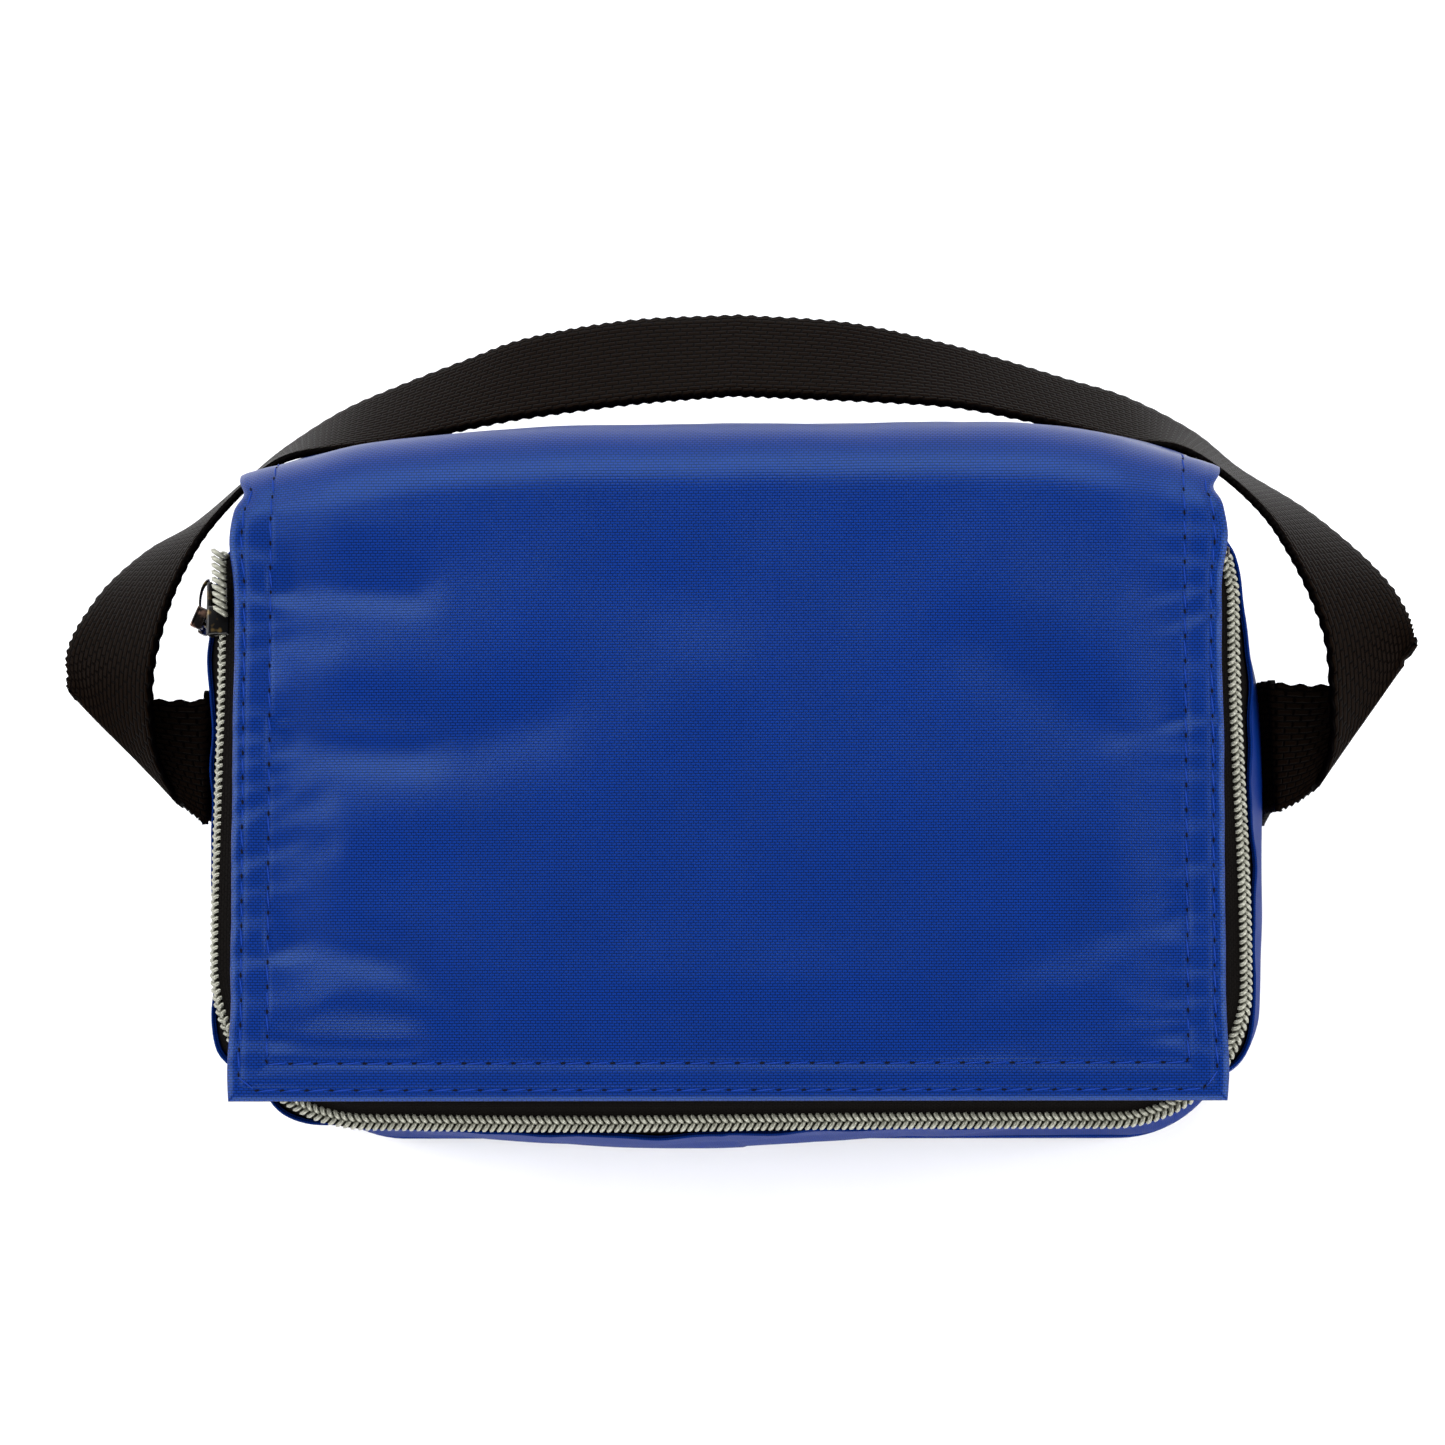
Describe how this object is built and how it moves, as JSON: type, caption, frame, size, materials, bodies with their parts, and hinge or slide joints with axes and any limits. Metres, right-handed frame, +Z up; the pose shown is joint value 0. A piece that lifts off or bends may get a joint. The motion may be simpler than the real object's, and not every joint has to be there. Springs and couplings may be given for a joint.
{
  "type": "insulated cooler bag",
  "caption": "Soft insulated box bag with a padded lid zipped on three sides and a webbing carry strap, for drink cans.",
  "frame": {"origin": "centre of the base's outline, on the surface that the bag stands on", "axes": "+Z up, +X to the right along the long side, +Y towards the back, where the lid folds"},
  "size_m": [0.3074, 0.1833, 0.15],
  "materials": {
    "cover_fabric": "coated oxford weave, slight sheen",
    "foam": "closed-cell foam, matt",
    "liner": "silver-grey film lining, satin",
    "zip_tape": "woven polyester tape, matt",
    "binding": "grosgrain tape, matt",
    "zip_coil": "nylon coil, satin",
    "slider_metal": "black enamel, semi-gloss",
    "pull_metal": "dark plated metal, glossy",
    "webbing": "woven polypropylene webbing, slight sheen"
  },
  "bodies": {
    "bag": {"front_panel": "cover_fabric", "front_foam": "foam", "front_liner": "liner", "back_panel": "cover_fabric", "back_foam": "foam", "back_liner": "liner", "left_panel": "cover_fabric", "left_foam": "foam", "left_liner": "liner", "right_panel": "cover_fabric", "right_foam": "foam", "right_liner": "liner", "base_panel": "cover_fabric", "base_foam": "foam", "base_liner": "liner", "body_zip_tape": "zip_tape", "rim_binding": "binding", "rear_strip_cover": "cover_fabric", "rear_strip_foam": "foam", "rear_strip_liner": "liner", "body_zip_coil": "zip_coil", "left_zip_stop": "zip_coil", "right_zip_stop": "zip_coil", "left_strap_end": "webbing", "right_strap_end": "webbing"},
    "lid": {"lid_cover": "cover_fabric", "lid_foam": "foam", "lid_liner": "liner", "lid_zip_tape": "zip_tape", "lid_zip_coil": "zip_coil"},
    "slider": {"zip_slider": "slider_metal", "slider_bridge": "slider_metal"},
    "pull": {"pull_tab": "pull_metal"},
    "strap": {"carry_strap": "webbing"}
  },
  "joints": [
    {"name": "lid_hinge", "type": "hinge", "parent": "bag", "child": "lid", "pos_m": [0, 0.0483, 0.15], "axis": [-1, 0, 0], "range_deg": [0, 110]},
    {"name": "zip_slide", "type": "slide", "parent": "bag", "child": "slider", "axis": [0, -1, 0], "range_m": [0, 0.08]},
    {"name": "pull_swing", "type": "hinge", "parent": "slider", "child": "pull", "pos_m": [-0.1181, 0.0321, 0.1424], "axis": [0, 1, 0], "range_deg": [0, 150]},
    {"name": "strap_swing", "type": "hinge", "parent": "bag", "child": "strap", "pos_m": [0, 0.007, 0.105], "axis": [1, 0, 0], "range_deg": [0, 90], "deforming": ["carry_strap"]}
  ]
}
